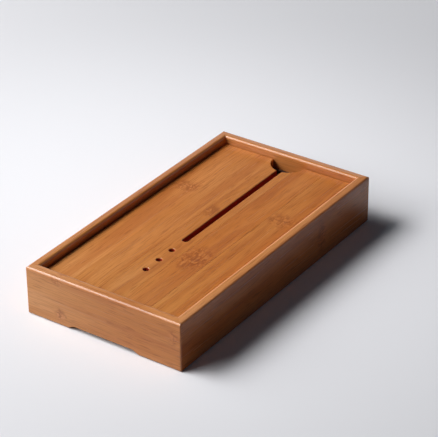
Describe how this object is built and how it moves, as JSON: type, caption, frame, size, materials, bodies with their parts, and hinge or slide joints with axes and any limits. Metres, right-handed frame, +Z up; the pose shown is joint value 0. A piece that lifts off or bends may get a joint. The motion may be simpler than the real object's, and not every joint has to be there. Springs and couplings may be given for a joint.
{
  "type": "gongfu tea tray",
  "caption": "Small rectangular bamboo tea tray: mitred frame on end-wall feet, sunken tea board with drain slot, drain holes and finger notch, lift-out water tray beneath.",
  "frame": {"origin": "middle of the outline, on the surface that the tray stands on", "axes": "+X along the long walls towards the finger notch, +Y across towards the back wall, +Z up"},
  "size_m": [0.22, 0.12, 0.035],
  "materials": {
    "frame_bamboo": "carbonised bamboo, satin lacquer",
    "board_bamboo": "carbonised bamboo, satin lacquer, grain along X",
    "base_bamboo": "bamboo ply, thin lacquer",
    "raw_bamboo": "uncoated bamboo, hidden in the joint",
    "tray_plastic": "moulded, dark brown, fine matt"
  },
  "bodies": {
    "frame": {"front_wall": "frame_bamboo", "back_wall": "frame_bamboo", "left_end_wall": "frame_bamboo", "right_end_wall": "frame_bamboo", "corner_spline_1": "raw_bamboo", "corner_spline_2": "raw_bamboo", "corner_spline_3": "raw_bamboo", "corner_spline_4": "raw_bamboo", "base_board": "base_bamboo", "front_cleat": "frame_bamboo", "back_cleat": "frame_bamboo"},
    "water_tray": {"water_tray": "tray_plastic"},
    "tea_board": {"board_strip_1": "board_bamboo", "board_strip_2": "board_bamboo", "board_strip_3": "board_bamboo", "board_strip_4": "board_bamboo", "board_strip_5": "board_bamboo", "board_strip_6": "board_bamboo", "board_batten_left": "board_bamboo", "board_batten_right": "board_bamboo"}
  },
  "joints": [
    {"name": "water_tray_lift", "type": "slide", "parent": "frame", "child": "water_tray", "axis": [0, 0, 1], "range_m": [0, 0.05]},
    {"name": "tea_board_lift", "type": "slide", "parent": "water_tray", "child": "tea_board", "axis": [0, 0, 1], "range_m": [0, 0.06]}
  ]
}
